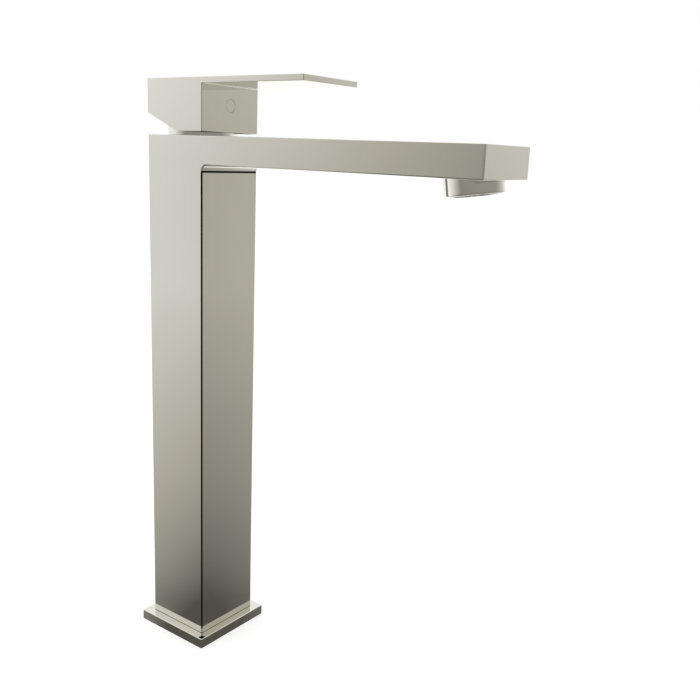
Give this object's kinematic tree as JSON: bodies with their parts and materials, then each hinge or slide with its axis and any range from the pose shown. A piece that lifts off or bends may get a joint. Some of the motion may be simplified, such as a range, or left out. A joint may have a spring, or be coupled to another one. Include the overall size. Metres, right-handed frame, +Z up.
{
  "type": "tall single-lever basin mixer tap",
  "caption": "Tall square mixer tap for a vessel basin, with a long flat spout, a tilted aerator and a flat lever on a square block that turns and lifts.",
  "frame": {"origin": "centre of the base plate's underside, on the deck", "axes": "+Z up along the column, -Y towards the spout's tip, +X to the right seen from the user at -Y"},
  "size_m": [0.05, 0.2037, 0.3097],
  "materials": {
    "nickel": "polished warm nickel",
    "brass": "machined",
    "copper": "drawn copper tube",
    "steel": "plain stainless",
    "rubber": "moulded",
    "ceramic": "lapped",
    "pale_plastic": "moulded",
    "grey_plastic": "moulded"
  },
  "bodies": {
    "tap_body": {"body": "nickel", "base_plate": "nickel", "base_gasket": "rubber", "plate_screws": "steel", "foot_block": "brass", "hot_supply_tube": "copper", "cold_supply_tube": "copper", "supply_tube_rings": "rubber", "valve_block": "brass", "spout_tube": "copper", "aerator_socket": "brass", "aerator_collar": "nickel", "aerator_washer": "rubber", "aerator_insert": "pale_plastic", "aerator_screen": "steel", "cartridge_base": "grey_plastic", "inlet_seals": "rubber", "disc_seals": "rubber", "fixed_disc": "ceramic", "cartridge_housing": "pale_plastic", "housing_ring": "rubber", "bonnet_nut": "brass", "neck_ring": "nickel", "neck_ring_seal": "rubber"},
    "turner": {"rotary_guide": "pale_plastic", "pivot_pin": "steel"},
    "lever": {"handle": "nickel", "stem": "steel", "handle_set_screw": "steel", "index_plug": "nickel"},
    "disc_slider": {"moving_disc": "ceramic", "disc_carrier": "grey_plastic"}
  },
  "joints": [
    {"name": "temperature_turn", "type": "hinge", "parent": "tap_body", "child": "turner", "pos_m": [0, 0, 0.285], "axis": [0, 0, 1], "range_deg": [-45, 45]},
    {"name": "lever_lift", "type": "hinge", "parent": "turner", "child": "lever", "pos_m": [0, 0, 0.285], "axis": [-1, 0, 0], "range_deg": [0, 25]},
    {"name": "disc_slide", "type": "slide", "parent": "turner", "child": "disc_slider", "axis": [0, -1, 0], "range_m": [0, 0.0039]}
  ],
  "couplings": [
    {"joint": "disc_slide", "follows": "lever_lift", "m_per_rad": 0.00872}
  ]
}
